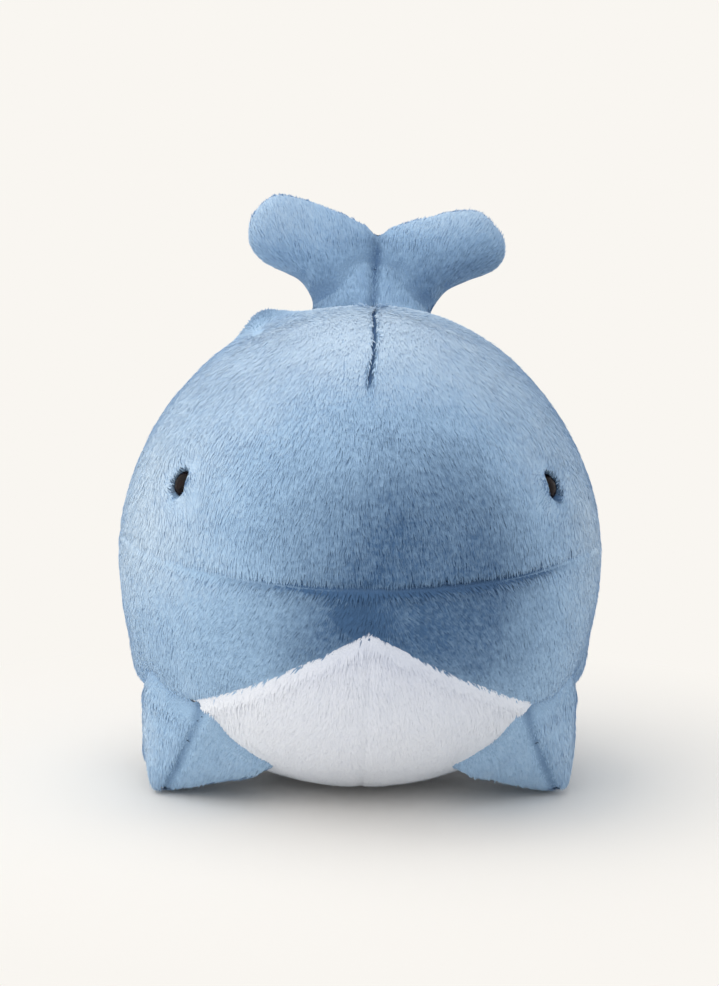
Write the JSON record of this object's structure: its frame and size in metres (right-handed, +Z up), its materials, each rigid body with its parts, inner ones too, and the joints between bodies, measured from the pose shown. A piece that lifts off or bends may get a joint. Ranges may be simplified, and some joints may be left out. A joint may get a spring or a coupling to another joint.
{
  "type": "plush whale",
  "caption": "Round stuffed whale in short plush: blue crown and flanks, white belly, button eyes, two stubby flippers and a raised tail with flukes.",
  "frame": {"origin": "on the floor, under the middle of the toy's bounding box", "axes": "+Z up, +Y from the nose to the tail, +X towards the right flipper as seen from the front"},
  "size_m": [0.2482, 0.268, 0.3022],
  "materials": {
    "blue_plush": "matte",
    "white_plush": "matte",
    "stuffing": "matte",
    "eye_button": "gloss",
    "eye_washer": "matte"
  },
  "bodies": {
    "body": {"body_fill": "stuffing", "crown_left": "blue_plush", "crown_right": "blue_plush", "flank_left": "blue_plush", "flank_right": "blue_plush", "belly_left": "white_plush", "belly_right": "white_plush", "eye_left": "eye_button", "eye_right": "eye_button", "eye_washer_left": "eye_washer", "eye_washer_right": "eye_washer"},
    "flipper_left": {"flipper_left_fill": "stuffing", "flipper_left_outer": "blue_plush", "flipper_left_inner": "blue_plush"},
    "flipper_right": {"flipper_right_fill": "stuffing", "flipper_right_outer": "blue_plush", "flipper_right_inner": "blue_plush"},
    "tail": {"tail_fill": "stuffing", "tail_front_left": "blue_plush", "tail_front_right": "blue_plush", "tail_back_left": "blue_plush", "tail_back_right": "blue_plush"}
  },
  "joints": [
    {"name": "flipper_left_lift", "type": "hinge", "parent": "body", "child": "flipper_left", "pos_m": [-0.11, -0.01998, 0.07656], "axis": [0, 1, 0], "range_deg": [0, 60], "stiffness_Nm_per_rad": 0.25},
    {"name": "flipper_right_lift", "type": "hinge", "parent": "body", "child": "flipper_right", "pos_m": [0.11, -0.01998, 0.07656], "axis": [0, -1, 0], "range_deg": [0, 60], "stiffness_Nm_per_rad": 0.25},
    {"name": "tail_bend", "type": "hinge", "parent": "body", "child": "tail", "pos_m": [0, 0.07304, 0.18098], "axis": [1, 0, 0], "range_deg": [-20, 20], "stiffness_Nm_per_rad": 0.6}
  ]
}
